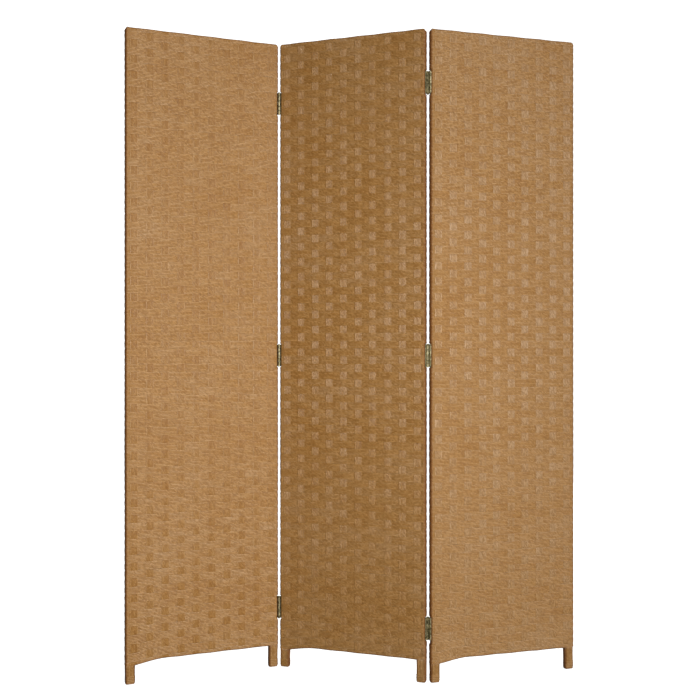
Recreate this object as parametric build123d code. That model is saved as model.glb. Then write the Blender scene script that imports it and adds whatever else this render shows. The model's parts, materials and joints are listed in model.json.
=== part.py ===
from build123d import *
from math import cos, radians, sin
import os

# Folding room divider screen: three woven panels joined by two rows of butt hinges.
# Millimetres, +Z up. The screen stands in its half-folded zigzag: seen from the front
# (looking along +Y) the left and right panels run away to the right, the middle one
# comes back. The origin is on the floor, at the centre of the whole screen's plan.
#
# Each panel is built flat in its own frame: u (X) runs from its left edge to its right
# edge, v (Y) from the front to the back with 0 at mid thickness, z is up.

# ---- driving dimensions -------------------------------------------------------------
PANEL_WIDTH = 434.0
PANEL_HEIGHT = 1780.0
PANEL_THICK = 16.0
EDGE_GAP = 6.0               # between the edges of two panels when they are in line

LEFT_YAW = 24.0              # plan angle of each panel from +X, in degrees
MIDDLE_YAW = -21.5
RIGHT_YAW = 18.5

WRAP = 2.0                   # woven cord over the frame, both layers
WEFT = 1.1                   # the outer layer of the two
CORNER_ROUND = 3.5           # where the cord turns round the panel's long edges
TOP_ROUND = 5.0              # the panel's top corners, seen from the front

LEG_WIDTH = 24.0
ARCH_LOW = 48.5              # height of the woven field's lower edge at the left foot
ARCH_HIGH = 60.5             # and from the bend to the right foot
ARCH_BEND = 78.0             # where the lower edge bends, from the left edge
ARCH_RADIUS = 200.0

TOP_RAIL = 30.0
MIDDLE_RAIL = 32.0
BOTTOM_RAIL = 36.0
DOWEL_RADIUS = 3.0
DOWEL_LENGTH = 32.0
DOWEL_IN_STILE = 14.0
DOWEL_PITCH = 16.0
GLUE_GAP = 0.05

WARP_COUNT = 10
WARP_PITCH = 43.6
WARP_WIDTH = 21.5

HINGE_HEIGHT = 62.0
KNUCKLES = 5
KNUCKLE_GAP = 0.3
BARREL_RADIUS = EDGE_GAP / 2
LEAF_THICK = 1.3
LEAF_WIDTH = 15.5            # from the pin's axis
LEAF_ROUND = 2.0
LEAF_CLEAR = 0.4             # round the other leaf's knuckles
PIN_PROUD = 2.5              # pin's axis in front of, or behind, the panel's face
PIN_RADIUS = 1.5
PIN_CLEAR = 0.05
PIN_HEAD_RADIUS = 2.6
PIN_HEAD = 1.2
PIN_HEAD_CHAMFER = 0.4
FOLD_INSET = {"left_fold": 170.0, "right_fold": 145.0}   # hinge centres from top and floor

SCREW_RADIUS = 1.5
SCREW_HEAD_RADIUS = 2.9
SCREW_LENGTH = 12.0
SCREW_CLEAR = 0.05
SCREW_SLOT = 0.7
SCREW_SLOT_DEPTH = 0.6
SCREW_SLOT_REACH = 1.75      # the cross slots' half length
SCREW_PLACES = [(10.0, 8.0), (31.0, 11.5), (52.0, 8.0)]  # up the leaf, from the pin's axis

HALF = PANEL_THICK / 2
FRAME_HALF = HALF - WRAP
STILE = LEG_WIDTH - 2 * WRAP
PIN_DEPTH = HALF + PIN_PROUD                             # pin's axis from mid thickness
PIN_OUT = EDGE_GAP / 2                                   # and from the panel's edge
FRONT = -1
BACK = 1
FOLD_FACE = {"left_fold": FRONT, "right_fold": BACK}     # the face each pin stands on
PANELS = ["left_panel", "middle_panel", "right_panel"]

parts = {}


def block(u, v, z):
    """A box between the pairs u, v and z, each pair in either order."""
    spans = [(min(pair), max(pair)) for pair in (u, v, z)]
    centre = [(low + high) / 2 for low, high in spans]
    size = [high - low for low, high in spans]
    return Pos(*centre) * Box(*size)


def rod_z(radius, low, high):
    return Pos(0, 0, (low + high) / 2) * Cylinder(radius, high - low)


def rod_u(radius, start, end, v, z):
    """A cylinder along u."""
    middle = (start + end) / 2
    return Pos(middle, v, z) * Rot(0, 90, 0) * Cylinder(radius, abs(end - start))


# ---- the panel's elevation ----------------------------------------------------------
def field_outline(inset):
    """The woven field seen from the front, drawn in by inset all round."""
    left = inset
    right = PANEL_WIDTH - inset
    top = PANEL_HEIGHT - inset
    low = ARCH_LOW + inset
    high = ARCH_HIGH + inset
    lower_edge = FilletPolyline((LEG_WIDTH, low), (ARCH_BEND, high), (right, high), radius=ARCH_RADIUS)
    rest = Polyline((right, high), (right, top), (left, top), (left, low), (LEG_WIDTH, low))
    outline = make_face(lower_edge + rest)
    top_corners = outline.vertices().sort_by(Axis.Y)[-2:]
    return fillet(top_corners, TOP_ROUND - inset)


def field_slab(inset, face):
    """The field's outline drawn in by inset, from mid thickness to that depth under the face."""
    upright = Plane.XZ * field_outline(inset)
    return extrude(upright, HALF - inset, dir=(0, face, 0))


def lower_edge_cut(inset):
    """Everything under the field's lower edge, across the whole thickness."""
    low = ARCH_LOW + inset
    high = ARCH_HIGH + inset
    edge = FilletPolyline((LEG_WIDTH, low), (ARCH_BEND, high), (PANEL_WIDTH, high), radius=ARCH_RADIUS)
    rest = Polyline((PANEL_WIDTH, high), (PANEL_WIDTH, -1), (-1, -1), (-1, low), (LEG_WIDTH, low))
    under = Plane.XZ * make_face(edge + rest)
    return extrude(under, PANEL_THICK, dir=(0, 1, 0), both=True)


# ---- the wooden frame ---------------------------------------------------------------
RAIL_Z = {
    "top_rail": (PANEL_HEIGHT - TOP_RAIL, PANEL_HEIGHT - WRAP),
    "middle_rail": ((PANEL_HEIGHT - MIDDLE_RAIL) / 2, (PANEL_HEIGHT + MIDDLE_RAIL) / 2),
    "bottom_rail": (ARCH_LOW, ARCH_HIGH + BOTTOM_RAIL),
}
STILE_U = {
    "left_stile": (WRAP, WRAP + STILE),
    "right_stile": (PANEL_WIDTH - WRAP - STILE, PANEL_WIDTH - WRAP),
}


def dowel_places():
    """Each dowel as its stile's inner face, the way into the stile, and its height."""
    places = []
    for low, high in RAIL_Z.values():
        middle = (max(low, ARCH_HIGH) + high) / 2
        for shift in (-DOWEL_PITCH / 2, DOWEL_PITCH / 2):
            places.append((STILE_U["left_stile"][1], -1, middle + shift))
            places.append((STILE_U["right_stile"][0], 1, middle + shift))
    return places


def dowels(radius):
    rods = []
    for joint_u, into_stile, z in dowel_places():
        start = joint_u + into_stile * DOWEL_IN_STILE
        end = start - into_stile * DOWEL_LENGTH
        rods.append(rod_u(radius, start, end, 0, z))
    return Compound(rods)


def frame_pieces():
    holes = dowels(DOWEL_RADIUS + GLUE_GAP)
    depth = (-FRAME_HALF, FRAME_HALF)
    pieces = {}
    for name, span in STILE_U.items():
        stile = block(span, depth, (0, PANEL_HEIGHT - WRAP))
        outer = 0 if name == "left_stile" else -1
        top_corner = stile.edges().filter_by(Axis.Y).group_by(Axis.Z)[-1].sort_by(Axis.X)[outer]
        pieces[name] = fillet(top_corner, TOP_ROUND - WRAP) - holes
    rail_u = (STILE_U["left_stile"][1], STILE_U["right_stile"][0])
    for name, span in RAIL_Z.items():
        pieces[name] = block(rail_u, depth, span) - holes
    pieces["bottom_rail"] = pieces["bottom_rail"] - lower_edge_cut(WRAP)
    pieces["dowels"] = dowels(DOWEL_RADIUS)
    return pieces


# ---- the woven cord -----------------------------------------------------------------
def leg_passages():
    """The room that the two stiles take where they leave the field as feet."""
    depth = (-FRAME_HALF, FRAME_HALF)
    below = (0, ARCH_HIGH + 2 * WRAP)
    return [block(span, depth, below) for span in STILE_U.values()]


def warp_bands():
    first = PANEL_WIDTH / 2 - (WARP_COUNT - 1) / 2 * WARP_PITCH
    centres = [first + i * WARP_PITCH for i in range(WARP_COUNT)]
    depth = (-HALF, HALF)
    bands = [block((u - WARP_WIDTH / 2, u + WARP_WIDTH / 2), depth, (0, PANEL_HEIGHT)) for u in centres]
    return Compound(bands)


def woven_pieces():
    pieces = {}
    for name, face in (("front", FRONT), ("back", BACK)):
        cavity = field_slab(WRAP, face)
        warp = field_slab(WEFT, face) - cavity - leg_passages()
        warp = warp & warp_bands()
        cover = field_slab(0, face)
        outer = cover.faces().sort_by(Axis.Y)[0 if face == FRONT else -1]
        rounded = [edge for edge in outer.edges() if edge.center().Z > 2 * ARCH_HIGH]
        cover = fillet(rounded, CORNER_ROUND)
        pieces[name + "_warp"] = warp
        pieces[name + "_weft"] = cover - cavity - leg_passages() - warp
    return pieces


def foot_wraps():
    wraps = []
    for left, top in ((0, ARCH_LOW), (PANEL_WIDTH - LEG_WIDTH, ARCH_HIGH)):
        sleeve = block((left, left + LEG_WIDTH), (-HALF, HALF), (0, top))
        sleeve = fillet(sleeve.edges().filter_by(Axis.Z), CORNER_ROUND)
        wraps.append(sleeve - leg_passages())
    return Compound([solid for wrap in wraps for solid in wrap.solids()])


# ---- hinges -------------------------------------------------------------------------
# A leaf is built about its pin: hand is +1 when its panel is on the +u side of the pin,
# face is the face of the panel that the pin stands on, and the leaf runs the other way.
KNUCKLE = (HINGE_HEIGHT - (KNUCKLES - 1) * KNUCKLE_GAP) / KNUCKLES


def knuckle_span(index):
    low = index * (KNUCKLE + KNUCKLE_GAP)
    return low, low + KNUCKLE


def hinge_leaf(own, hand, face):
    """The leaf whose knuckles are the ones listed in own, counted from the bottom."""
    inner = BARREL_RADIUS - LEAF_THICK
    leaf = block((hand * inner, hand * BARREL_RADIUS), (0, -face * LEAF_WIDTH), (0, HINGE_HEIGHT))
    far = [edge for edge in leaf.edges().filter_by(Axis.X) if abs(edge.center().Y) > LEAF_WIDTH / 2]
    leaf = fillet(far, LEAF_ROUND)
    for index in range(KNUCKLES):
        low, high = knuckle_span(index)
        if index in own:
            leaf = leaf + rod_z(BARREL_RADIUS, low, high)
        else:
            leaf = leaf - rod_z(BARREL_RADIUS + LEAF_CLEAR, low - KNUCKLE_GAP, high + KNUCKLE_GAP)
    leaf = leaf - rod_z(PIN_RADIUS + PIN_CLEAR, -1, HINGE_HEIGHT + 1)
    return leaf - screws(hand, face, SCREW_CLEAR)


def screws(hand, face, clearance=0.0):
    """A leaf's three screws, or the holes that they need."""
    head_u = BARREL_RADIUS - LEAF_THICK
    tip_u = head_u + SCREW_LENGTH
    slot_end_u = head_u + SCREW_SLOT_DEPTH
    narrow = (-SCREW_SLOT / 2, SCREW_SLOT / 2)
    reach = (-SCREW_SLOT_REACH, SCREW_SLOT_REACH)
    slot_u = (hand * (head_u - 1), hand * slot_end_u)
    slots = block(slot_u, narrow, reach) + block(slot_u, reach, narrow)
    shank = rod_u(SCREW_RADIUS + clearance, hand * slot_end_u, hand * tip_u, 0, 0)
    cone = Cone(SCREW_HEAD_RADIUS + clearance, SCREW_RADIUS + clearance, LEAF_THICK)
    head = Pos(hand * (head_u + LEAF_THICK / 2), 0, 0) * Rot(0, hand * 90, 0) * cone
    screw = shank + head
    if clearance == 0.0:
        screw = screw - slots
    group = [Pos(0, -face * distance, z) * screw for z, distance in SCREW_PLACES]
    return Compound([solid for placed in group for solid in placed.solids()])


def hinge_pin():
    pin = rod_z(PIN_RADIUS, 0, HINGE_HEIGHT)
    top = rod_z(PIN_HEAD_RADIUS, HINGE_HEIGHT, HINGE_HEIGHT + PIN_HEAD)
    bottom = rod_z(PIN_HEAD_RADIUS, -PIN_HEAD, 0)
    top = chamfer(top.edges().sort_by(Axis.Z)[-1], PIN_HEAD_CHAMFER)
    bottom = chamfer(bottom.edges().sort_by(Axis.Z)[0], PIN_HEAD_CHAMFER)
    return pin + top + bottom


def hinge_heights(fold):
    """The bottom of each hinge's leaves."""
    inset = FOLD_INSET[fold]
    centres = {"top": PANEL_HEIGHT - inset, "middle": PANEL_HEIGHT / 2, "bottom": inset}
    return {name: centre - HINGE_HEIGHT / 2 for name, centre in centres.items()}


# Each panel edge that carries hinges: panel, fold, side of the panel that the pin is on.
HINGED_EDGES = [
    ("left_panel", "left_fold", 1),
    ("middle_panel", "left_fold", -1),
    ("middle_panel", "right_fold", 1),
    ("right_panel", "right_fold", -1),
]


def pin_in_panel(fold, side):
    """The pin's axis in the panel's own frame."""
    u = PANEL_WIDTH + PIN_OUT if side > 0 else -PIN_OUT
    return u, FOLD_FACE[fold] * PIN_DEPTH


# ---- the panels standing in their zigzag --------------------------------------------
def turned(yaw, u, v):
    angle = radians(yaw)
    return u * cos(angle) - v * sin(angle), u * sin(angle) + v * cos(angle)


def panel_place(yaw, fold, side, axis):
    """The place of a panel that turns by yaw and has a fold's pin at the plan point axis."""
    x, y = turned(yaw, *pin_in_panel(fold, side))
    return Pos(axis[0] - x, axis[1] - y, 0) * Rot(0, 0, yaw)


left_axis = (0.0, 0.0)
step = [b - a for a, b in zip(pin_in_panel("left_fold", -1), pin_in_panel("right_fold", 1))]
right_axis = turned(MIDDLE_YAW, *step)
place = {
    "left_panel": panel_place(LEFT_YAW, "left_fold", 1, left_axis),
    "middle_panel": panel_place(MIDDLE_YAW, "left_fold", -1, left_axis),
    "right_panel": panel_place(RIGHT_YAW, "right_fold", -1, right_axis),
}

for panel in PANELS:
    pieces = {**frame_pieces(), **woven_pieces(), "foot_wraps": foot_wraps()}
    panel_screws = []
    for hinged, fold, side in HINGED_EDGES:
        if hinged != panel:
            continue
        u, v = pin_in_panel(fold, side)
        own = (0, 2, 4) if panel == "middle_panel" else (1, 3)
        for name, z in hinge_heights(fold).items():
            at_hinge = Pos(u, v, z)
            leaf = at_hinge * hinge_leaf(own, -side, FOLD_FACE[fold])
            parts[f"{fold}_{name}_{panel}_leaf"] = place[panel] * leaf
            panel_screws.append(at_hinge * screws(-side, FOLD_FACE[fold]))
            holes = at_hinge * screws(-side, FOLD_FACE[fold], SCREW_CLEAR)
            for drilled in ("left_stile", "right_stile", "front_weft", "back_weft"):
                pieces[drilled] = pieces[drilled] - holes
            if panel == "middle_panel":
                parts[f"{fold}_{name}_pin"] = place[panel] * at_hinge * hinge_pin()
    pieces["hinge_screws"] = Compound([solid for group in panel_screws for solid in group.solids()])
    for name, piece in pieces.items():
        parts[f"{panel}_{name}"] = place[panel] * piece

# ---- one STEP file for each piece, with the origin under the screen's centre ----------
whole = Compound([solid for part in parts.values() for solid in part.solids()])
centre = whole.bounding_box().center()
to_origin = Pos(-centre.X, -centre.Y, 0)

os.makedirs("parts", exist_ok=True)
for name, part in parts.items():
    solids = [to_origin * solid for solid in part.solids()]
    node = solids[0] if len(solids) == 1 else Compound(solids)
    export_step(node, f"parts/{name}.step")

for fold, axis in (("left_fold", left_axis), ("right_fold", right_axis)):
    print(fold, "pin axis at", round(axis[0] - centre.X, 4), round(axis[1] - centre.Y, 4))
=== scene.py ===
import json
import math

import bpy
import numpy as np
from mathutils import Matrix, Vector


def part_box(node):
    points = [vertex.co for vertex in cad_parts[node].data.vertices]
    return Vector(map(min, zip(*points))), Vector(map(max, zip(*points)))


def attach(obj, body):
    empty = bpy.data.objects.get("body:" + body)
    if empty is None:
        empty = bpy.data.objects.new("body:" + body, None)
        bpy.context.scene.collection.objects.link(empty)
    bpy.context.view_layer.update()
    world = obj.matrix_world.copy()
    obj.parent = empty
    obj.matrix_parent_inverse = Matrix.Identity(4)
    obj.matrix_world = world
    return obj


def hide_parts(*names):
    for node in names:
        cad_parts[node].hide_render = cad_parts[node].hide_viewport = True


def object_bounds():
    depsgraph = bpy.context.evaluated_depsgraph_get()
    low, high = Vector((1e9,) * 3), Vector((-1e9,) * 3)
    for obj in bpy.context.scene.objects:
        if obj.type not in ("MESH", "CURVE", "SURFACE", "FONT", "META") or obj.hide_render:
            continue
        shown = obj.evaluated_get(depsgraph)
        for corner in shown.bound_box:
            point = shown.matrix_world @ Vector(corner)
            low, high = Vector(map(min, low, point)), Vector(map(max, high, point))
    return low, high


# The looks of a folding room divider screen: three panels of woven paper cord over wooden
# frames, joined by brass butt hinges. Metres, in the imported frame. The cord is built in each
# panel's own frame: u runs along the panel from its left edge, v from the front to the back
# with 0 at mid thickness, z is up.

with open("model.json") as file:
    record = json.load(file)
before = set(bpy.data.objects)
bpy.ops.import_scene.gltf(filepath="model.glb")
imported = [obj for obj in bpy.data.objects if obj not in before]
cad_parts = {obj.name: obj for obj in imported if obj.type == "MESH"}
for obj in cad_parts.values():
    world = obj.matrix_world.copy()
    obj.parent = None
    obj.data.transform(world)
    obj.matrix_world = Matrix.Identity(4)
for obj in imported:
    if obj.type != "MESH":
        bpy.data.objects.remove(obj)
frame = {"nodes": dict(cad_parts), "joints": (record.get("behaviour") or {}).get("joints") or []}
cad_low, cad_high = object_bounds()
rng = np.random.default_rng(11)

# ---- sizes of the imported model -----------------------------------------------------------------
PANEL_WIDTH = 0.434
PANEL_HEIGHT = cad_high[2]
HALF = 0.008                      # half of a panel's thickness, over the cord
EDGE_GAP = 0.006                  # between the edges of two panels in line
PIN_PROUD = 0.0025                # from a panel's face to a hinge pin's axis
CORNER = 0.0042                   # the cord's turn round a panel's long edges
TOP_ROUND = 0.005                 # a panel's top corners, seen from the front
RIM_ROLL = 0.0042                 # the top and bottom rows' rims, seen from the side
LEG_WIDTH = 0.024
ARCH_LOW = 0.0485                 # height of the woven field's lower edge beside the left foot
ARCH_HIGH = 0.0605                # and from ARCH_BEND to the right foot
ARCH_BEND = 0.078                 # where along the panel it levels out
ARCH_SOFT = 0.0025                # and how softly
WARP_COUNT, WARP_PITCH, WARP_WIDTH = 10, 0.0436, 0.0208
FIRST_WARP = (PANEL_WIDTH - (WARP_COUNT - 1) * WARP_PITCH) / 2
FRAME_CLEAR = -0.00195            # no cord goes deeper: the wooden frame is there
PANELS = ["left_panel", "middle_panel", "right_panel"]

# ---- sizes of the weave; depths are from the panel's face, and out is positive -----------------
ROWS = 81                         # the top and bottom rows are half rows
CORDS = 6                         # cords side by side in a weft row or a warp bundle
HUMP = 0.0008                     # how far a cord's crown stands over its valleys
TWIST = 0.0042                    # one turn of a cord's twist
FLANK = math.radians(52)          # how far a round cord's surface leans beside a valley
ROW_BORDER = 0.8                  # of that, at a weft row's borders
BUNDLE_BORDER = 0.6               # and at a warp bundle's

WEFT_DIP = -0.0013                # a weft row's valleys under a warp bundle
WEFT_END = -0.0008                # beside the bundle, where a float comes out
WEFT_CREST = 0.0011               # and at the float's middle, over a hidden bundle
DIP_REACH = 0.0090                # from a bundle's middle to the dip's end
END_REACH = 0.0120                # and to where the float comes out
CREST_REACH = 0.0045              # half of a float's level top
WEFT_THICK = 0.0018
EDGE_THINNER = 0.0008             # a row is thinner by this round a panel's edge
CORNER_PROUD = 0.0005             # how far the cord stands out as it turns round a long edge
EDGE_PROUD = 0.0006               # and how much more at the middle of that edge
FACE_BULGE = 0.0001               # how far a row's middle cords stand over its outer ones
EDGE_BULGE = 0.0007               # and how much more round an edge
TOP_CLEAR = 0.0003                # from the top row's upper rim to the panel's full height
TRIM_REACH = 0.02                 # how far down the top corners' rounding reaches
BEND_REACH = 0.11                 # how far up the rows follow the lower edge
RIM_LEAN = 0.95                   # sine of the steepest lean of the top and bottom rims
UNDER_HINGE = -0.0004             # cord is pressed down to here under a hinge leaf
HINGE_MARGIN = 0.002              # and this far above and below the leaf
ON_EDGE = 0.3                     # where its outward normal is this much sideways or more

WARP_CREST = 0.0005               # a warp bundle's valleys where it shows
WARP_END = -0.0002                # where it dives under the next row
WARP_UNDER = -0.0018              # and under that row
WARP_THICK = 0.00035
WARP_EASE = 0.17                  # the share of a row's height in which a bundle levels out
WARP_SLOPE = 0.35                 # how much of a bundle's slope its shading shows
WARP_TURN = 0.0036                # a bundle's turn round a rail
WARP_TOP = PANEL_HEIGHT - 0.0016  # a bundle's way over the top rail
WARP_BOTTOM = ARCH_HIGH + 0.0010  # and under the bottom rail
TURN_CLEAR = 0.0004               # between the last row that a bundle crosses and its turn
OUTER_LOW = 0.0005                # how much lower a bundle's outer cords lie
HIDDEN_NARROW, HIDDEN_FLAT = 0.06, 0.7   # a hidden bundle's loss of width and of hump

# ---- unevenness of hand work: standard deviations ----------------------------------------------
BORDER_PLAY = 0.00035             # a border between two rows
CORD_PLAY = 0.00014               # a cord's place across its row
CORD_SWELL = 0.14                 # a cord's hump, as a share
BUNDLE_PLAY = 0.0005              # a bundle's place
DRIFT, DRIFT_SPAN = 0.0012, 25    # a bundle's drift sideways, smoothed over this many stations

# ---- tones and painted light and shade ---------------------------------------------------------
RIM_SHADE_REACH = 0.0050                 # how far the painted shade at the upper and lower rims reaches
EDGE_SHADE_RATE = 1.4                   # how fast painted shade darkens cord as it turns round a long edge
WARP_PANEL_LIGHT = {"left_panel": -2.0, "middle_panel": 2.2, "right_panel": 7.5}   # painted light: each panel's bundles lighter or darker for the light their squares catch

# ---- sizes of the cord on the feet -------------------------------------------------------------
FLUTE = 0.0042                    # the width of a cord on the leg's sleeve
SLEEVE_OUT, SLEEVE_IN = 0.0004, -0.0018   # the sleeve's valleys and its inside, from the leg's face
SLEEVE_LOW = 0.018                # the sleeve's lower end
SLEEVE_TUCK = 0.004               # how far it goes up behind the woven field
SLEEVE_LAYERS = 7                 # stations along it
FLARE, FLARE_REACH = 0.0004, 0.018        # it widens by this, over this height, below the field
SWAY, SWAY_RATE = 0.0004, 55      # it isn't quite straight
TURNS = 5                         # turns of cord round the foot
TURNS_LOW, TURNS_HIGH = 0.0004, 0.0225
TURNS_OUT, TURNS_HUMP, TURNS_IN = 0.0009, 0.0009, -0.0019
FLOOR_TUCK, FLOOR_REACH = 0.0016, 0.006   # the lowest turn draws in by this, over this height

# ---- how the mesh is shared out ----------------------------------------------------------------
ROWS_IN_PIECE = 9
BUNDLES_IN_PIECE = 2

# ---- each row, bundle, sleeve and set of turns has its own number for the materials ------------
ROW_STEP, BUNDLE_STEP = 100, 20   # from one panel's rows or bundles to the next panel's
BUNDLE_NUMBERS, SLEEVE_NUMBERS, TURN_NUMBERS = 500, 700, 740   # where they start; rows at 0

ALONG_PANEL = np.array([1.0, 0.0, 0.0])
UPWARD = np.array([0.0, 0.0, 1.0])


# ---- where each panel stands -------------------------------------------------------------------
def panel_places():
    joints = {joint["name"]: joint for joint in frame["joints"]}
    left, right = joints["left_fold"], joints["right_fold"]
    left_pin, right_pin = Vector(left["pos_m"]), Vector(right["pos_m"])
    across = right_pin - left_pin
    pin_v = HALF + PIN_PROUD
    middle_yaw = math.atan2(across.y, across.x) - math.atan2(2 * pin_v, PANEL_WIDTH + EDGE_GAP)
    yaws = {
        "left_panel": middle_yaw - math.radians(left["range_deg"][0]),
        "middle_panel": middle_yaw,
        "right_panel": middle_yaw - math.radians(right["range_deg"][0]),
    }
    pins = {
        "left_panel": (left_pin, PANEL_WIDTH + EDGE_GAP / 2, -pin_v),
        "middle_panel": (left_pin, -EDGE_GAP / 2, -pin_v),
        "right_panel": (right_pin, -EDGE_GAP / 2, pin_v),
    }
    places = {}
    for name, (pin, u, v) in pins.items():
        stand = Matrix.Translation((pin.x, pin.y, 0))
        turn = Matrix.Rotation(yaws[name], 4, "Z")
        places[name] = stand @ turn @ Matrix.Translation((-u, -v, 0))
    return places


PLACES = panel_places()


def hinge_spans(panel):
    """Where hinge leaves lie on a panel: its side, -1 left or 1 right, and the leaf's z span."""
    spans = []
    for node in frame["nodes"]:
        if node.endswith(panel + "_leaf"):
            low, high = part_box(node)
            local = PLACES[panel].inverted() @ ((low + high) / 2)
            spans.append((1 if local.x > PANEL_WIDTH / 2 else -1, low.z, high.z))
    return spans


# ---- camera, lights and stage ------------------------------------------------------------------
def look_at(thing, target):
    direction = Vector(target) - thing.location
    thing.rotation_euler = direction.to_track_quat("-Z", "Y").to_euler()


def add_camera():
    data = bpy.data.cameras.new("camera")
    data.sensor_width = 36.0
    data.lens = 56.4
    data.shift_x = -0.0143
    data.shift_y = 0.0014
    camera = bpy.data.objects.new("camera", data)
    camera.location = (0.0162, -3.058, 0.9025)
    camera.rotation_euler = (math.pi / 2, 0, 0)
    bpy.context.scene.collection.objects.link(camera)
    bpy.context.scene.camera = camera


def place_light(data, azimuth, elevation, distance):
    """Stands a light so that it looks at the screen's middle. Azimuth 0 is the camera's side,
    positive to its right. Angles are in degrees."""
    light = bpy.data.objects.new(data.name, data)
    turn, rise = math.radians(azimuth), math.radians(elevation)
    middle = Vector((0, 0, PANEL_HEIGHT / 2))
    level = math.cos(rise)
    way = Vector((math.sin(turn) * level, -math.cos(turn) * level, math.sin(rise)))
    light.location = middle + distance * way
    look_at(light, middle)
    light.visible_camera = False
    bpy.context.scene.collection.objects.link(light)


def add_area_light(name, azimuth, elevation, distance, size, power, colour):
    data = bpy.data.lights.new(name, "AREA")
    data.shape = "SQUARE"
    data.size = size
    data.energy = power
    data.color = colour
    place_light(data, azimuth, elevation, distance)


def add_far_light(name, azimuth, elevation, width, strength, colour):
    """A light so far away that it falls evenly; its width is the angle that it fills."""
    data = bpy.data.lights.new(name, "SUN")
    data.angle = math.radians(width)
    data.energy = strength
    data.color = colour
    place_light(data, azimuth, elevation, distance=8.0)


def add_lights():
    add_far_light(
        "key", azimuth=40, elevation=8, width=16, strength=1.42, colour=(1.0, 0.985, 0.96)
    )
    add_area_light(
        "front_fill", azimuth=4, elevation=3, distance=1.75, size=0.8, power=13.6,
        colour=(1.0, 0.99, 0.975),
    )
    add_area_light(
        "back_fill", azimuth=170, elevation=30, distance=4.5, size=2.4, power=110,
        colour=(0.98, 0.99, 1.0),
    )
    world = bpy.data.worlds.new("studio")
    world.use_nodes = True
    sky = world.node_tree.nodes["Background"]
    sky.inputs["Color"].default_value = (1.0, 1.0, 1.0, 1.0)
    sky.inputs["Strength"].default_value = 0.09
    bpy.context.scene.world = world


def add_stage():
    """A pale floor that sweeps up into a pale wall all round, far behind the screen."""
    radius, curve, height, sides, steps = 9.0, 2.0, 6.0, 96, 12
    profile = [
        (radius - curve + curve * math.sin(t), curve - curve * math.cos(t))
        for t in np.linspace(0, math.pi / 2, steps)
    ]
    profile.append((radius, height))
    turns = np.linspace(0, 2 * math.pi, sides, endpoint=False)
    points = [(r * math.cos(t), r * math.sin(t), z) for r, z in profile for t in turns]
    faces = []
    for ring in range(len(profile) - 1):
        for side in range(sides):
            a, b = ring * sides + side, ring * sides + (side + 1) % sides
            faces.append((a, b, b + sides, a + sides))
    faces.append(tuple(reversed(range(sides))))
    mesh = bpy.data.meshes.new("stage")
    mesh.from_pydata(points, [], faces)
    mesh.polygons.foreach_set("use_smooth", [True] * len(mesh.polygons))
    stage = bpy.data.objects.new("stage", mesh)
    stage.visible_diffuse = False
    stage.visible_glossy = False
    stage.visible_shadow = False
    bpy.context.scene.collection.objects.link(stage)
    mesh.materials.append(stage_material())


# ---- materials ---------------------------------------------------------------------------------
class Nodes:
    """A short way to write a node material."""

    def __init__(self, name):
        self.material = bpy.data.materials.new(name)
        self.material.use_nodes = True
        self.tree = self.material.node_tree
        self.shader = self.tree.nodes["Principled BSDF"]

    def add(self, kind, inputs=None, **settings):
        node = self.tree.nodes.new(kind)
        for key, value in settings.items():
            setattr(node, key, value)
        for key, value in (inputs or {}).items():
            self.feed(node.inputs[key], value)
        return node

    def feed(self, socket, value):
        if isinstance(value, bpy.types.NodeSocket):
            self.tree.links.new(value, socket)
        else:
            socket.default_value = value

    def maths(self, operation, a, b=0.0, c=0.0):
        return self.add("ShaderNodeMath", {0: a, 1: b, 2: c}, operation=operation).outputs[0]

    def ramp(self, factor, stops):
        node = self.add("ShaderNodeValToRGB", {0: factor})
        elements = node.color_ramp.elements
        while len(elements) < len(stops):
            elements.new(0.5)
        for element, (place, colour) in zip(elements, stops):
            element.position = place
            element.color = (*colour, 1.0)
        return node.outputs[0]

    def noise(self, vector, scale, detail, roughness):
        inputs = {"Vector": vector, "Scale": scale, "Detail": detail, "Roughness": roughness}
        return self.add("ShaderNodeTexNoise", inputs).outputs[0]

    def vector(self, x, y):
        return self.add("ShaderNodeCombineXYZ", {0: x, 1: y}).outputs[0]

    def split(self, vector):
        return self.add("ShaderNodeSeparateXYZ", {0: vector}).outputs

    def attribute(self, name):
        return self.add("ShaderNodeAttribute", attribute_name=name).outputs["Vector"]

    def random(self, seed, dimensions):
        """A value from 0 to 1 for each seed. The seed is a number for 1D, a vector for 2D."""
        inputs = {"W" if dimensions == "1D" else "Vector": seed}
        node = self.add("ShaderNodeTexWhiteNoise", inputs, noise_dimensions=dimensions)
        return node.outputs["Value"]

    def total(self, start, parts):
        """start and the parts, each times its weight."""
        for value, weight in parts:
            start = self.maths("MULTIPLY_ADD", value, weight, start)
        return start

    def scaled(self, vector, factors):
        node = self.add("ShaderNodeVectorMath", {0: vector, 1: factors}, operation="MULTIPLY")
        return node.outputs[0]

    def tinted(self, factor, colour, tint):
        """A colour, multiplied by a tint as far as the factor says."""
        node = self.add("ShaderNodeMix", data_type="RGBA", blend_type="MULTIPLY")
        self.feed(node.inputs[0], factor)
        self.feed(node.inputs[6], colour)
        self.feed(node.inputs[7], tint)
        return node.outputs[2]

    def finish(self, colour, roughness, height=None, distance=0.001, strength=1.0):
        self.feed(self.shader.inputs["Base Color"], colour)
        self.feed(self.shader.inputs["Roughness"], roughness)
        if height is not None:
            inputs = {"Height": height, "Distance": distance, "Strength": strength}
            bump = self.add("ShaderNodeBump", inputs)
            self.feed(self.shader.inputs["Normal"], bump.outputs[0])
        return self.material


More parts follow.
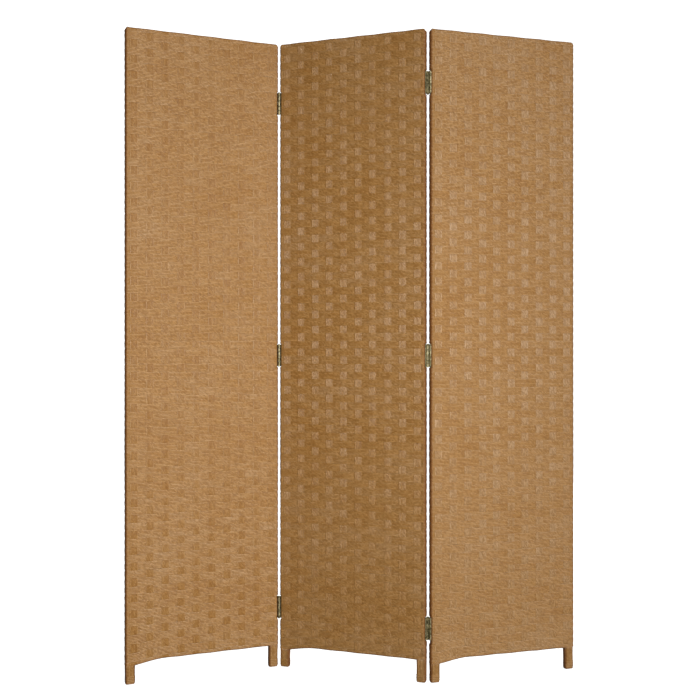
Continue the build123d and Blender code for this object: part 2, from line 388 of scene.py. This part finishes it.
def cord_material(name, dark, middle, light):
    """Twisted paper cord. The mesh's cord attribute holds the way along the cord in metres,
    the place across the cords counted in cords, and a number for the row or bundle. Its shade
    attribute holds a tone for that length of cord, with each panel's painted light for the
    warp bundles, and how far painted shade darkens the cord at its edges and rims."""
    n = Nodes(name)
    along, across, row = n.split(n.attribute("cord"))
    length_tone_and_panel_light, painted_shade, _ = n.split(n.attribute("shade"))
    at = n.add("ShaderNodeTexCoord").outputs["Object"]
    place = n.maths("FRACT", across)

    # Each cord of each row or bundle has its own number, which sets its tone and its twist.
    cord_number = n.maths("ADD", n.maths("FLOOR", across), n.maths("MULTIPLY", row, 17.0))
    cord_tone = n.random(cord_number, "1D")

    # The grooves: between two cords, and between the beads of a cord's slanting twist.
    side = n.maths("ABSOLUTE", n.maths("SUBTRACT", place, 0.5))
    inside = n.maths("MULTIPLY", n.maths("SUBTRACT", 0.5, side), 5.0)
    seam = n.maths("SMOOTH_MIN", inside, 1.0, 0.4)
    slant = n.total(n.maths("MULTIPLY", cord_tone, 7.0), [(place, 0.8)])
    turns = n.maths("ADD", n.maths("DIVIDE", along, TWIST), slant)
    strand = n.maths("ABSOLUTE", n.maths("SINE", n.maths("MULTIPLY", turns, math.pi)))

    # How pale it is: streaks along a cord, each cord's and each length's own tone, and patches.
    streak = n.noise(n.vector(n.maths("MULTIPLY", along, 9.0), cord_number), 1.0, 4.0, 0.6)
    blotch = n.noise(at, 7.0, 3.0, 0.55)
    patch = n.noise(at, 42.0, 2.0, 0.5)
    parts = [(streak, 0.28), (cord_tone, 0.14), (length_tone_and_panel_light, 0.030), (blotch, 0.44), (patch, 0.20)]
    colour = n.ramp(n.total(-0.03, parts), [(0.12, dark), (0.50, middle), (0.88, light)])

    # Painted shade darkens the grooves between cords and between a cord's twist beads; fibres and
    # single beads are darker at random; and darker is deeper in colour too.
    fibre = n.noise(at, 900.0, 2.0, 0.7)
    bead = n.random(n.vector(n.maths("FLOOR", turns), cord_number), "2D")
    groove_shade_and_flecks = 1.0
    for value, span, low in (
        (strand, 0.16, 0.84), (seam, 0.30, 0.70), (fibre, 0.24, 0.88), (bead, 0.50, 0.75)
    ):
        groove_shade_and_flecks = n.maths("MULTIPLY", groove_shade_and_flecks, n.maths("MULTIPLY_ADD", value, span, low))
    channels = [n.maths("POWER", groove_shade_and_flecks, power) for power in (0.75, 1.05, 1.75)]
    groove_shade_and_fleck_tint = n.add("ShaderNodeCombineColor", dict(enumerate(channels))).outputs[0]
    colour = n.tinted(1.0, colour, groove_shade_and_fleck_tint)
    # Painted shade: the cord is tinted darker round the long edges and beside the top and bottom
    # rims.
    colour = n.tinted(painted_shade, colour, (0.62, 0.47, 0.36, 1.0))

    height = n.maths("MULTIPLY_ADD", strand, 0.7, n.maths("MULTIPLY", fibre, 0.3))
    roughness = n.maths("MULTIPLY_ADD", streak, 0.14, 0.33)
    n.shader.inputs["Specular IOR Level"].default_value = 0.60
    return n.finish(colour, roughness, height, distance=0.0004, strength=0.35)


def wood_material(name, dark, light):
    """Planed softwood with upright grain. The cord hides it."""
    n = Nodes(name)
    at = n.add("ShaderNodeTexCoord").outputs["Object"]
    rings = n.noise(n.scaled(at, (90.0, 90.0, 3.0)), 1.0, 3.0, 0.5)
    pores = n.noise(n.scaled(at, (700.0, 700.0, 22.0)), 1.0, 2.0, 0.6)
    grain = n.maths("MULTIPLY_ADD", pores, 0.35, n.maths("MULTIPLY", rings, 0.65))
    colour = n.ramp(grain, [(0.30, dark), (0.68, light)])
    return n.finish(colour, n.maths("MULTIPLY_ADD", grain, 0.2, 0.5), pores, 0.0003, 0.5)


def brass_material(name, dull, bright, roughness):
    """Antique brass: soft patches that are partly tarnish and partly painted highlights and shade,
    and fine upright scratches.
    """
    n = Nodes(name)
    at = n.add("ShaderNodeTexCoord").outputs["Object"]
    tarnish_and_highlight = n.noise(at, 160.0, 4.0, 0.62)
    scratch = n.noise(n.scaled(at, (2600.0, 2600.0, 180.0)), 1.0, 2.0, 0.5)
    # Dark and bright patches: partly tarnish, partly painted highlights and painted shade of the
    # knuckles.
    patch = n.ramp(tarnish_and_highlight, [(0.42, dull), (0.60, bright)])
    rough = n.maths("MULTIPLY_ADD", scratch, 0.16, n.maths("MULTIPLY_ADD", tarnish_and_highlight, 0.2, roughness))
    n.shader.inputs["Metallic"].default_value = 0.6
    return n.finish(patch, rough, scratch, 0.0001, 0.35)


def stage_material():
    n = Nodes("stage_paint")
    at = n.add("ShaderNodeTexCoord").outputs["Object"]
    grain = n.noise(at, 40.0, 3.0, 0.6)
    colour = n.ramp(grain, [(0.3, (0.93, 0.93, 0.925)), (0.7, (0.96, 0.96, 0.955))])
    n.shader.inputs["Specular IOR Level"].default_value = 0.1
    n.shader.inputs["Emission Color"].default_value = (1.0, 1.0, 1.0, 1.0)
    n.shader.inputs["Emission Strength"].default_value = 0.90
    return n.finish(colour, 0.85)


# ---- mesh building -----------------------------------------------------------------------------
def unit(vectors):
    return vectors / np.linalg.norm(vectors, axis=-1, keepdims=True)


def along_part(vectors, way):
    """The part of each vector that lies along a unit vector."""
    return way * (vectors * way).sum(axis=-1, keepdims=True)


def next_station(grid):
    return np.roll(grid, -1, axis=0)


def next_point(grid):
    return np.roll(grid, -1, axis=1)


class Surface:
    """Collects closed tubes, each a grid of points that wraps round both ways, as one mesh."""

    def __init__(self):
        self.points, self.quads, self.cords, self.shades = [], [], [], []
        self.normals, self.count = [], 0

    def tube(self, points, cord, normals, tone, painted_shade, slope=1.0):
        """points and cord are arrays of stations by section points by 3. normals is a pair of
        such arrays, for the quads that start at a section point and for those that end there.
        tone is a tone, and the argument after it is how far painted shade darkens the cord, for
        each station or for each of the points. What leans along the tube is taken from its
        points, times slope."""
        run = np.roll(points, -1, axis=0) - np.roll(points, 1, axis=0)
        run -= (1 - slope) * along_part(run, unit(normals[0] + normals[1]))
        run = unit(run)
        starting, ending = [side - along_part(side, run) for side in normals]
        corners = [
            starting,
            next_station(starting),
            next_point(next_station(ending)),
            next_point(ending),
        ]
        self.normals.append(unit(np.stack(corners, axis=2).reshape(-1, 3)))
        stations, section = points.shape[:2]
        index = np.arange(stations * section).reshape(stations, section) + self.count
        quad = [index, next_station(index), next_point(next_station(index)), next_point(index)]
        self.quads.append(np.stack(quad, axis=-1).reshape(-1, 4))
        self.points.append(points.reshape(-1, 3))
        self.cords.append(cord.reshape(-1, 3))
        shade = np.zeros(points.shape)
        shade[..., 0], shade[..., 1] = tone, painted_shade
        self.shades.append(shade.reshape(-1, 3))
        self.count += stations * section

    def build(self, name, panel, material, replaced):
        points, quads = np.concatenate(self.points), np.concatenate(self.quads)
        mesh = bpy.data.meshes.new(name)
        mesh.vertices.add(len(points))
        mesh.vertices.foreach_set("co", points.astype(np.float32).ravel())
        mesh.loops.add(quads.size)
        mesh.loops.foreach_set("vertex_index", quads.astype(np.int32).ravel())
        mesh.polygons.add(len(quads))
        mesh.polygons.foreach_set("loop_start", np.arange(0, quads.size, 4, dtype=np.int32))
        mesh.polygons.foreach_set("use_smooth", np.ones(len(quads), dtype=bool))
        mesh.update(calc_edges=True)
        for kind, grids in (("cord", self.cords), ("shade", self.shades)):
            values = np.concatenate(grids).astype(np.float32)
            attribute = mesh.attributes.new(kind, "FLOAT_VECTOR", "POINT")
            attribute.data.foreach_set("vector", values.ravel())
        mesh.normals_split_custom_set(np.concatenate(self.normals))
        mesh.materials.append(material)
        piece = bpy.data.objects.new(name, mesh)
        bpy.context.scene.collection.objects.link(piece)
        piece.matrix_world = PLACES[panel]
        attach(piece, panel)
        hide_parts(*replaced)


def leaning_normals(outward, across, lean):
    """Normals of a section that lean from outward: stations by section points by 3."""
    return np.cos(lean)[None, :, None] * outward[:, None] + np.sin(lean)[None, :, None] * across


def round_normals(outward, across, crown, border):
    """The pair of normals of a section of round cords that is closed by two inner points.
    border is how round the section's two ends are, against the cords between them."""
    inner = np.repeat(-outward[:, None], 2, axis=1)
    lean = FLANK * (1 - crown)
    lean[[0, -1]] *= border
    return [
        np.concatenate([leaning_normals(outward, across, side * lean), inner], axis=1)
        for side in (-1, 1)
    ]


def smooth_step(x):
    x = np.clip(x, 0, 1)
    return x * x * (3 - 2 * x)


def lower_edge(u):
    """Height of the woven field's lower edge, which dips towards the left foot."""
    rise = (u - LEG_WIDTH) / (ARCH_BEND - LEG_WIDTH) * (ARCH_HIGH - ARCH_LOW)
    line = ARCH_LOW + np.maximum(rise, 0)
    return ARCH_HIGH - ARCH_SOFT * np.log1p(np.exp((ARCH_HIGH - line) / ARCH_SOFT))


def follow_lower_edge(points):
    """Bends the lowest rows down to the shaped edge."""
    u, z = points[..., 0], points[..., 2]
    near = smooth_step(1 - (z - ARCH_HIGH) / BEND_REACH)
    points[..., 2] = z - (ARCH_HIGH - lower_edge(u)) * near


def across_places(cords):
    """Places across a run of cords, a valley and a crown in turn, and their heights."""
    places = np.arange(2 * cords + 1) / 2
    return places, np.arange(2 * cords + 1) % 2 * 1.0


def way_along(points):
    """Distances along a line of points in a plane, from its first point."""
    steps = np.linalg.norm(np.diff(points, axis=0), axis=1)
    return np.concatenate([[0.0], np.cumsum(steps)])


def cord_values(along, places, cords, number):
    """The cord attribute of a run of cords that is closed by two inner points."""
    cord = np.empty((len(along), len(places) + 2, 3))
    cord[..., 0] = along[:, None]
    cord[:, :-2, 1] = places
    cord[:, -2, 1], cord[:, -1, 1] = cords, 0
    cord[..., 2] = number
    return cord


def edge_painted_shade(out_u):
    """Painted shade for cord that turns round an edge: 1 where it faces sideways."""
    return np.clip(EDGE_SHADE_RATE * np.abs(out_u), 0, 1)


def rim_painted_shade(z):
    """Painted shade beside the upper and lower rims too: 1 at the rim."""
    nearest = np.minimum(PANEL_HEIGHT - z, z - ARCH_HIGH)
    return smooth_step(1 - nearest / RIM_SHADE_REACH)


# ---- weft: rows of cord that run right round the panel -----------------------------------------
def corner_arc(centre_u, centre_v, start, steps=4):
    arc = []
    for t in np.radians(start + np.linspace(0, 90, steps)):
        out_u, out_v = math.cos(t), math.sin(t)
        arc.append((centre_u + CORNER * out_u, centre_v + CORNER * out_v, out_u, out_v, 1.0, 0.0))
    return arc


def face_stations(parity):
    """Places along a face, and how far out the row lies there: it dips under one bundle and
    arches over the next. Half-way between them it is on the slope."""
    between = WEFT_END * 0.62 + WEFT_CREST * 0.38
    dip = [
        (-END_REACH, WEFT_END), (-DIP_REACH, WEFT_DIP), (DIP_REACH, WEFT_DIP), (END_REACH, WEFT_END)
    ]
    crest = [(-CREST_REACH, WEFT_CREST), (CREST_REACH, WEFT_CREST)]
    stations = []
    for column in range(WARP_COUNT):
        u = FIRST_WARP + column * WARP_PITCH
        shape = dip if (column + parity) % 2 == 0 else crest
        stations += [(u + step, rise) for step, rise in shape]
        if column < WARP_COUNT - 1:
            stations.append((u + WARP_PITCH / 2, between))
    return [s for s in stations if CORNER < s[0] < PANEL_WIDTH - CORNER]


def row_path(parity):
    """One row's way round the panel: stations of u, v, the outward normal, 1 on an edge, and
    the rise over the face. With it comes the distance along the way to each station."""
    front, back = face_stations(parity), face_stations(parity + 1)
    path = [(u, -HALF, 0.0, -1.0, 0.0, rise) for u, rise in front]
    path += corner_arc(PANEL_WIDTH - CORNER, -HALF + CORNER, -90)
    path += corner_arc(PANEL_WIDTH - CORNER, HALF - CORNER, 0)
    path += [(u, HALF, 0.0, 1.0, 0.0, rise) for u, rise in reversed(back)]
    path += corner_arc(CORNER, HALF - CORNER, 90)
    path += corner_arc(CORNER, -HALF + CORNER, 180)
    path = np.array(path)
    return path, way_along(path[:, :2])


PATHS = [row_path(0), row_path(1)]


def press_under_hinges(outward, out_u, z, spans):
    """Holds the cord back where a hinge leaf lies on that side of the panel."""
    for side, hinge_low, hinge_high in spans:
        beside = (z > hinge_low - HINGE_MARGIN) & (z < hinge_high + HINGE_MARGIN)
        pressed = beside & (out_u[:, None] * side > ON_EDGE)
        outward = np.where(pressed, np.minimum(outward, UNDER_HINGE), outward)
    return outward


def weft_row(surface, panel, number, low, high, spans):
    path, along = PATHS[number % 2]
    u, v, out_u, out_v, edge, rise = path.T
    cords = CORDS // 2 if number in (0, ROWS - 1) else CORDS
    places, crown = across_places(cords)
    cord_number = np.minimum(places.astype(int), cords - 1)
    count = len(path)
    share = places / cords
    play = rng.normal(0, CORD_PLAY, (count, cords))[:, cord_number]
    swell = 1 + CORD_SWELL * rng.normal(0, 1, (1, cords))[:, cord_number]
    bulge = (FACE_BULGE + EDGE_BULGE * edge)[:, None] * (1 - (2 * share - 1) ** 2)
    bulge += (edge * (CORNER_PROUD + EDGE_PROUD * np.abs(out_u)))[:, None]
    outward = rise[:, None] + HUMP * crown[None, :] * swell + bulge
    z = low + (high - low) * share[None, :] + play
    outward = press_under_hinges(outward, out_u, z, spans)

    section = np.empty((count, len(places) + 2, 3))
    section[:, :-2, 0] = u[:, None] + out_u[:, None] * outward
    section[:, :-2, 1] = v[:, None] + out_v[:, None] * outward
    section[:, :-2, 2] = z
    inward = np.maximum(rise - WEFT_THICK + EDGE_THINNER * edge, FRAME_CLEAR)
    section[:, -2:, 0] = (u + out_u * inward)[:, None]
    section[:, -2:, 1] = (v + out_v * inward)[:, None]
    section[:, -2:, 2] = high, low
    facing = np.stack([out_u, out_v, np.zeros(count)], axis=1)
    normals = round_normals(facing, UPWARD, crown, ROW_BORDER)
    # Painted shade: darker where the row turns round a long edge and beside the top and bottom
    # rims.
    painted_shade = np.maximum(edge_painted_shade(out_u * edge)[:, None], rim_painted_shade(section[..., 2]))
    if number == 0:
        roll_rim(section, facing, normals, ARCH_HIGH, -1)
    if number == ROWS - 1:
        roll_rim(section, facing, normals, PANEL_HEIGHT, 1)
        trim_top_corners(section)
    follow_lower_edge(section)

    # The tone changes at each dip, and the last length is one with the first.
    lengths = np.cumsum(rise == WEFT_DIP) // 2
    tones = rng.normal(0, 1, lengths[-1] + 1)
    tones[-1] = tones[0]
    cord = cord_values(along, places, cords, number + ROW_STEP * PANELS.index(panel))
    surface.tube(section, cord, normals, tones[lengths][:, None], painted_shade)


def roll_rim(section, facing, normals, rim, way):
    """Leans a border row's outer rim in over the rail. way is 1 for the top, -1 for the bottom."""
    lean = np.arcsin(np.clip(1 - way * (rim - section[..., 2]) / RIM_ROLL, 0, RIM_LEAN))
    section -= facing[:, None] * (RIM_ROLL * (1 - np.cos(lean)))[..., None]
    for side in normals:
        side *= np.cos(lean)[..., None]
        side[..., 2] += way * np.sin(lean)


def trim_top_corners(section):
    """Rounds the top row's ends off, as the frame's corners are."""
    u, z = section[..., 0], section[..., 2]
    into = np.clip(TOP_ROUND - np.minimum(u, PANEL_WIDTH - u), 0, TOP_ROUND)
    drop = TOP_ROUND - np.sqrt(TOP_ROUND**2 - into**2)
    section[..., 2] = z - drop * smooth_step((z - (PANEL_HEIGHT - TRIM_REACH)) / TRIM_REACH)


def row_limits():
    """Heights of the rows' borders, with a half row at the bottom and at the top."""
    low, high = ARCH_HIGH, PANEL_HEIGHT - TOP_CLEAR
    pitch = (high - low) / (ROWS - 1)
    borders = low + pitch * (np.arange(1, ROWS) - 0.5) + rng.normal(0, BORDER_PLAY, ROWS - 1)
    return np.concatenate([[low], borders, [high]])


# ---- warp: bundles that run up the front, over the top rail and down the back ------------------
def crossing(low, high, shows):
    """A bundle's stations across one row, as heights and rises over the face."""
    middle = (low + high) / 2
    if not shows:
        return [(middle, WARP_UNDER)]
    ease = (high - low) * WARP_EASE
    shoulder = WARP_CREST * 0.75 + WARP_END * 0.25
    return [
        (low, WARP_END), (low + ease, shoulder), (middle, WARP_CREST), (high - ease, shoulder),
        (high, WARP_END),
    ]


def loop(angles, centre_z):
    """A bundle's way over or under a rail: an arc at each face, and one station between."""
    stations = []
    for angle in angles:
        out_v, out_z = math.cos(math.radians(angle)), math.sin(math.radians(angle))
        centre_v = math.copysign(HALF - WARP_TURN, out_v)
        v = 0.0 if abs(angle) == 90 else centre_v + WARP_TURN * out_v
        stations.append((v, centre_z + WARP_TURN * out_z, out_v, out_z, 0.0))
    return stations


def warp_path(limits, parity):
    """A bundle's way round the panel: v, z, the outward normal and its rise over the face."""
    front, back = [], []
    top_turn, bottom_turn = WARP_TOP - WARP_TURN, WARP_BOTTOM + WARP_TURN
    for row in range(ROWS):
        low = max(limits[row], bottom_turn + TURN_CLEAR)
        high = min(limits[row + 1], top_turn - TURN_CLEAR)
        shows = (ROWS - 1 - row + parity) % 2 == 0
        front += crossing(low, high, shows)
        back += crossing(low, high, not shows)
    path = [(-HALF, z, -1.0, 0.0, rise) for z, rise in front]
    path += loop((150, 120, 90, 60, 30), top_turn)
    path += [(HALF, z, 1.0, 0.0, rise) for z, rise in reversed(back)]
    path += loop((-30, -60, -90, -120, -150), bottom_turn)
    return np.array(path)


def warp_bundle(surface, panel, column, limits):
    centre = FIRST_WARP + column * WARP_PITCH + rng.normal(0, BUNDLE_PLAY)
    path = warp_path(limits, column)
    v, z, out_v, out_z, rise = path.T
    places, crown = across_places(CORDS)
    count = len(path)
    share = places / CORDS
    hidden = smooth_step((WARP_END - rise) / (WARP_END - WARP_UNDER))[:, None]
    steps = rng.normal(0, DRIFT, count + DRIFT_SPAN - 1)
    drift = np.convolve(steps, np.ones(DRIFT_SPAN) / DRIFT_SPAN, "valid")
    width = WARP_WIDTH * (1 - HIDDEN_NARROW * hidden)
    u = centre + drift[:, None] + (share[None, :] - 0.5) * width
    outward = rise[:, None] + HUMP * crown[None, :] * (1 - HIDDEN_FLAT * hidden)
    outward -= OUTER_LOW * (1 - hidden) * (2 * share[None, :] - 1) ** 4

    section = np.empty((count, len(places) + 2, 3))
    section[:, :-2, 0] = u
    section[:, :-2, 1] = v[:, None] + out_v[:, None] * outward
    section[:, :-2, 2] = z[:, None] + out_z[:, None] * outward
    inward = np.maximum(rise - WARP_THICK, FRAME_CLEAR)
    section[:, -2, 0], section[:, -1, 0] = u[:, -1], u[:, 0]
    section[:, -2:, 1] = (v + out_v * inward)[:, None]
    section[:, -2:, 2] = (z + out_z * inward)[:, None]
    # Painted shade beside the top and bottom rims.
    painted_shade = rim_painted_shade(section[:, ::-1, 2])
    follow_lower_edge(section)

    number = BUNDLE_NUMBERS + column + BUNDLE_STEP * PANELS.index(panel)
    cord = cord_values(way_along(path[:, :2]), places, CORDS, number)
    facing = np.stack([np.zeros(count), out_v, out_z], axis=1)
    starting, ending = round_normals(facing, ALONG_PANEL, crown, BUNDLE_BORDER)
    normals = ending[:, ::-1], starting[:, ::-1]
    # The tone changes each time that the bundle goes under a row.
    lengths = np.cumsum(rise == WARP_UNDER)
    # Painted light: each panel's bundles are made lighter or darker, for the highlights and shade
    # that their squares catch there.
    tones = WARP_PANEL_LIGHT[panel] + rng.normal(0, 1, lengths[-1] + 1)[lengths]
    surface.tube(section[:, ::-1], cord[:, ::-1], normals, tones[:, None], painted_shade, WARP_SLOPE)


# ---- feet: cord that runs down the legs, held by a few turns at the floor ----------------------
def leg_outline(left, points_on_corner):
    """A leg's rounded section, as points and outward normals, counted round from the front."""
    right = left + LEG_WIDTH
    corners = [
        (right - CORNER, -HALF + CORNER, -90),
        (right - CORNER, HALF - CORNER, 0),
        (left + CORNER, HALF - CORNER, 90),
        (left + CORNER, -HALF + CORNER, 180),
    ]
    arcs = [corner_arc(u, v, start, points_on_corner) for u, v, start in corners]
    return np.array(arcs).reshape(-1, 6)[:, :4]


def sleeve_ring(left):
    """The sleeve's section: points and normals at its valleys and crowns, with their places
    counted in cords and their heights."""
    outline = leg_outline(left, points_on_corner=6)
    closed = np.vstack([outline, outline[:1]])
    along = way_along(closed[:, :2])
    cords = round(along[-1] / FLUTE)
    places, crown = [values[:-1] for values in across_places(cords)]
    at = places / cords * along[-1]
    ring = np.stack([np.interp(at, along, closed[:, k]) for k in range(4)], axis=1)
    return ring, places, crown


def leg_cords(surface, left, top, number):
    """Cord running down the four sides of a leg, as one fluted sleeve."""
    ring, places, crown = sleeve_ring(left)
    outward = unit(np.stack([ring[:, 2], ring[:, 3], np.zeros(len(ring))], axis=1))
    around = np.stack([-outward[:, 1], outward[:, 0], outward[:, 2]], axis=1)
    lean = (FLANK * (1 - crown))[:, None]
    leaning = [np.cos(lean) * outward + side * np.sin(lean) * around for side in (-1, 1)]
    heights = np.linspace(SLEEVE_LOW, top + SLEEVE_TUCK, SLEEVE_LAYERS)
    layers = []
    for z in heights:
        flare = FLARE * smooth_step((z - top + FLARE_REACH) / FLARE_REACH)
        layers.append((z, SLEEVE_OUT + HUMP * crown + flare, leaning))
    for z in reversed(heights):
        layers.append((z, np.full(len(ring), SLEEVE_IN), [-outward, -outward]))

    points = np.empty((len(layers), len(ring), 3))
    starting, ending, cord = np.empty_like(points), np.empty_like(points), np.empty_like(points)
    for row, (z, out, sides) in enumerate(layers):
        points[row] = outward * out[:, None]
        points[row, :, :2] += ring[:, :2]
        points[row, :, 0] += SWAY * math.sin(SWAY_RATE * z + number)
        points[row, :, 2] = z
        starting[row], ending[row] = sides
        cord[row, :, 0] = z
        cord[row, :, 1] = places
        cord[row, :, 2] = number
    # Painted shade where the sleeve faces sideways.
    painted_shade = edge_painted_shade(ring[:, 2])[None, :]
    surface.tube(points[::-1], cord[::-1], (starting[::-1], ending[::-1]), 0.0, painted_shade)


def foot_turns(surface, left, number):
    """Turns of cord wound round the foot's last stretch, as one closed ring of humps."""
    outline = leg_outline(left, points_on_corner=5)
    places, crown = across_places(TURNS)
    z = TURNS_LOW + (TURNS_HIGH - TURNS_LOW) * places / TURNS
    tuck = FLOOR_TUCK * (1 - smooth_step(z / FLOOR_REACH))
    out = TURNS_OUT + TURNS_HUMP * crown - tuck
    section = np.empty((len(outline), len(z) + 2, 3))
    section[:, :-2, :2] = outline[:, None, :2] + outline[:, None, 2:] * out[:, None]
    section[:, :-2, 2] = z
    section[:, -2:, :2] = (outline[:, :2] + outline[:, 2:] * TURNS_IN)[:, None]
    section[:, -2:, 2] = TURNS_HIGH, TURNS_LOW
    cord = cord_values(way_along(outline[:, :2]), places, TURNS, number)
    outward = np.stack([outline[:, 2], outline[:, 3], np.zeros(len(outline))], axis=1)
    normals = round_normals(outward, UPWARD, crown, 1.0)
    # Painted shade: the turns are darker near the floor and where they face sideways.
    floor_painted_shade = smooth_step(1 - section[..., 2] / RIM_SHADE_REACH)
    painted_shade = np.maximum(edge_painted_shade(outline[:, 2])[:, None], floor_painted_shade)
    surface.tube(section, cord, normals, 0.0, painted_shade)


# ---- putting it together -----------------------------------------------------------------------
def build_rows(panel, material, limits):
    spans = hinge_spans(panel)
    covers = [f"{panel}_front_weft", f"{panel}_back_weft"]
    for start in range(0, ROWS, ROWS_IN_PIECE):
        surface = Surface()
        for row in range(start, min(start + ROWS_IN_PIECE, ROWS)):
            weft_row(surface, panel, row, limits[row], limits[row + 1], spans)
        name = f"{panel}_weft_rows_{start // ROWS_IN_PIECE + 1}"
        surface.build(name, panel, material, covers)


def build_bundles(panel, material, limits):
    bundles = [f"{panel}_front_warp", f"{panel}_back_warp"]
    for start in range(0, WARP_COUNT, BUNDLES_IN_PIECE):
        surface = Surface()
        for column in range(start, start + BUNDLES_IN_PIECE):
            warp_bundle(surface, panel, column, limits)
        name = f"{panel}_warp_bundles_{start // BUNDLES_IN_PIECE + 1}"
        surface.build(name, panel, material, bundles)


def build_feet(panel, material):
    wraps = [f"{panel}_foot_wraps"]
    feet = [("left", 0.0, ARCH_LOW), ("right", PANEL_WIDTH - LEG_WIDTH, ARCH_HIGH)]
    for foot, (side, left, top) in enumerate(feet):
        surface = Surface()
        number = PANELS.index(panel) * 2 + foot
        leg_cords(surface, left, top, SLEEVE_NUMBERS + number)
        foot_turns(surface, left, TURN_NUMBERS + number)
        surface.build(f"{panel}_{side}_foot_cord", panel, material, wraps)


def finish_cad_nodes():
    finishes = {
        "_pin": brass_material("pin_brass", (0.40, 0.35, 0.17), (0.74, 0.67, 0.40), 0.24),
        "_leaf": brass_material("leaf_brass", (0.17, 0.15, 0.07), (0.66, 0.59, 0.36), 0.26),
        "_screws": brass_material("screw_metal", (0.26, 0.22, 0.11), (0.62, 0.53, 0.32), 0.24),
        "_dowels": wood_material("dowel_birch", (0.50, 0.34, 0.18), (0.66, 0.49, 0.30)),
        "": wood_material("frame_softwood", (0.34, 0.20, 0.095), (0.52, 0.34, 0.18)),
    }
    for name, node in frame["nodes"].items():
        material = next(finish for ending, finish in finishes.items() if name.endswith(ending))
        if not node.data.materials:
            node.data.materials.append(material)
        for slot in node.material_slots:
            slot.material = material


add_camera()
add_lights()
add_stage()

weft_paper = cord_material(
    "weft_cord_paper", dark=(0.455, 0.203, 0.034), middle=(0.546, 0.290, 0.091),
    light=(0.618, 0.386, 0.195),
)
warp_paper = cord_material(
    "warp_cord_paper", dark=(0.438, 0.192, 0.030), middle=(0.524, 0.273, 0.080),
    light=(0.594, 0.363, 0.176),
)
foot_paper = cord_material(
    "foot_cord_paper", dark=(0.426, 0.190, 0.031), middle=(0.510, 0.268, 0.080),
    light=(0.578, 0.354, 0.178),
)
for panel_name in PANELS:
    row_borders = row_limits()
    build_rows(panel_name, weft_paper, row_borders)
    build_bundles(panel_name, warp_paper, row_borders)
    build_feet(panel_name, foot_paper)
finish_cad_nodes()

bpy.context.scene.view_settings.view_transform = "Standard"
